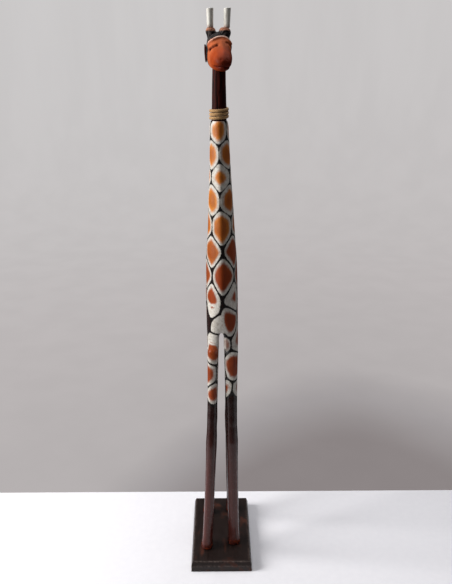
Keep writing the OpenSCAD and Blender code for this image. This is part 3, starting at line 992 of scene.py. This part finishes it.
def keep_node(node, material):
    """A CAD node whose shape is right: only its finish is set."""
    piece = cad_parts[node]
    piece.data.materials.clear()
    piece.data.materials.append(material)


# ---------------------------------------------------------------- stage, light and camera

# The grey backdrop glows with painted light and shade: its brightness, darker near the table, by distance out
# along its floor and up its wall in metres
BACKDROP = [(0.2, (140, 133, 133)), (0.42, (162, 157, 158)), (0.66, (180, 175, 175)), (1.8, (188, 183, 183)),
            (4.5, (199, 196, 196)), (6.5, (205, 203, 203))]
BACKDROP_REACH = 7.0


def grey_backdrop():
    s = Surface("grey_backdrop")
    flat = s.add("ShaderNodeVectorMath", {0: s.place, 1: (1, 1, 0)}, operation="MULTIPLY")
    out = s.add("ShaderNodeVectorMath", {0: flat}, output=1, operation="LENGTH")
    up = s.add("ShaderNodeSeparateXYZ", {"Vector": s.place}, output=2)
    # The window's side is the brighter one
    right = s.add("ShaderNodeSeparateXYZ", {"Vector": s.place}, output=0)
    tilt = s.span(right, -0.5, 0.5, 0.4, -0.4)
    away = s.math("DIVIDE", s.math("ADD", s.math("ADD", out, up), tilt), BACKDROP_REACH)
    ramp = s.tree.nodes.new("ShaderNodeValToRGB")
    s.set(ramp.inputs[0], away)
    stops = ramp.color_ramp.elements
    while len(stops) < len(BACKDROP):
        stops.new(0.5)
    for stop, (reach, colour) in zip(stops, BACKDROP):
        stop.position = reach / BACKDROP_REACH
        stop.color = linear(*colour)
    # Painted shade of faint folds in the cloth
    painted_fold_shade = s.span(s.noise(160, 3, (1, 1, 0.15)), 0.3, 0.7, 0.985, 1.015)
    glow = s.add("ShaderNodeEmission", {"Color": ramp.outputs[0], "Strength": painted_fold_shade})
    s.set(s.tree.nodes["Material Output"].inputs["Surface"], glow)
    return s.material


def white_table():
    s = Surface("white_table", Specular_IOR_Level=0.2)
    speckle = s.noise(12, 3)
    colour = s.mix(speckle, linear(240, 239, 244), linear(247, 246, 250))
    return s.finish(colour, 0.8, speckle, 0.05)


def slab(name, low, high, material):
    """A block between two corners, given in metres, that belongs to the stage."""
    work = bmesh.new()
    bmesh.ops.create_cube(work, size=1)
    for v in work.verts:
        v.co = Vector([(low[k] + high[k]) / 2 + v.co[k] * (high[k] - low[k]) for k in range(3)])
    mesh = bpy.data.meshes.new(name)
    work.to_mesh(mesh)
    work.free()
    piece = link(name, mesh)
    piece.data.materials.append(material)


def make_backdrop():
    """A round sweep: flat floor that turns up into a wall well behind every camera."""
    floor_z, floor_reach, bend, wall_top, around = -0.09, 2.8, 1.2, 4.5, 72
    profile = [(0.02, floor_z), (floor_reach, floor_z)]
    profile += [(floor_reach + bend * math.sin(a), floor_z + bend * (1 - math.cos(a)))
                for a in np.linspace(0, math.pi / 2, 12)[1:]]
    profile.append((floor_reach + bend, wall_top))
    points = [(r * math.cos(q), r * math.sin(q), z) for r, z in profile
              for q in np.linspace(0, 2 * math.pi, around, endpoint=False)]
    faces = []
    for i in range(len(profile) - 1):
        here, above = i * around, (i + 1) * around
        for j in range(around):
            after = (j + 1) % around
            faces.append((here + j, here + after, above + after, above + j))
    mesh = bpy.data.meshes.new("backdrop")
    mesh.from_pydata(points, [], faces)
    sweep = link("backdrop", mesh)
    sweep.data.materials.append(grey_backdrop())
    # It is only seen: it takes no shadow and throws no light
    sweep.visible_diffuse = sweep.visible_glossy = sweep.visible_shadow = False


def make_stage():
    """The white table under the statue, and the backdrop behind it."""
    front, back = (BASE_LOW[1] - 350) * MM, (BASE_HIGH[1] + 50) * MM
    slab("floor_table", (-0.65, front, -0.03), (0.65, back, 0), white_table())
    make_backdrop()


def area_light(name, spot, aim, size, power, colour):
    """A rectangular light; places and size in metres, power in watts."""
    light = bpy.data.lights.new(name, "AREA")
    light.shape = "RECTANGLE"
    light.size, light.size_y = size
    light.energy = power
    light.color = colour
    lamp = bpy.data.objects.new(name, light)
    bpy.context.scene.collection.objects.link(lamp)
    lamp.location = spot
    lamp.rotation_euler = (Vector(aim) - Vector(spot)).to_track_quat("-Z", "Y").to_euler()


def make_lights():
    """A window at the viewer's left, a soft ceiling and a faint grey surround."""
    middle = (0, 0, 0.5)
    area_light("window", (-2.2, -0.4, 1.42), middle, (1.3, 1.4), 82, (1.0, 0.985, 0.97))
    area_light("ceiling", (0.1, 0.3, 2.4), (0, 0, 0), (2.0, 2.0), 30, (0.98, 0.985, 1.0))
    world = bpy.data.worlds.new("studio")
    world.use_nodes = True
    world.node_tree.nodes["Background"].inputs["Color"].default_value = (0.62, 0.6, 0.61, 1)
    world.node_tree.nodes["Background"].inputs["Strength"].default_value = 0.12
    bpy.context.scene.world = world


# The camera stands in front of the statue, in millimetres, and looks down and a little to one side
CAMERA_PLACE = (-1.5, -1104.2, 889.8)
CAMERA_PITCH = 18
CAMERA_YAW = 0.57
CAMERA_LENS = 39.45


def make_camera():
    """Looks a little down from in front, at the height of the head."""
    pitch, yaw = math.radians(CAMERA_PITCH), math.radians(CAMERA_YAW)
    camera = bpy.data.cameras.new("camera")
    camera.sensor_width = 36
    camera.lens = CAMERA_LENS
    eye = bpy.data.objects.new("camera", camera)
    bpy.context.scene.collection.objects.link(eye)
    eye.location = Vector(CAMERA_PLACE) * MM
    look = Vector((math.sin(yaw) * math.cos(pitch), math.cos(yaw) * math.cos(pitch), -math.sin(pitch)))
    eye.rotation_euler = look.to_track_quat("-Z", "Y").to_euler()
    bpy.context.scene.camera = eye


make_camera()
make_lights()
make_stage()
dark = dark_wood()
make_animal(painted_wood())
make_head(face_wood())
horn = horn_wood()
make_horn("horn_left", 71, horn)
make_horn("horn_right", 72, horn)
make_stick(dark)
make_twine(twine_fibre())
make_ear("ear_left", dark)
make_ear("ear_right", dark)
make_tail(dark)
make_base(base_wood())
keep_node("leg_dowels", plain_wood())
make_screws(screw_steel())
bpy.context.scene.view_settings.view_transform = "Standard"
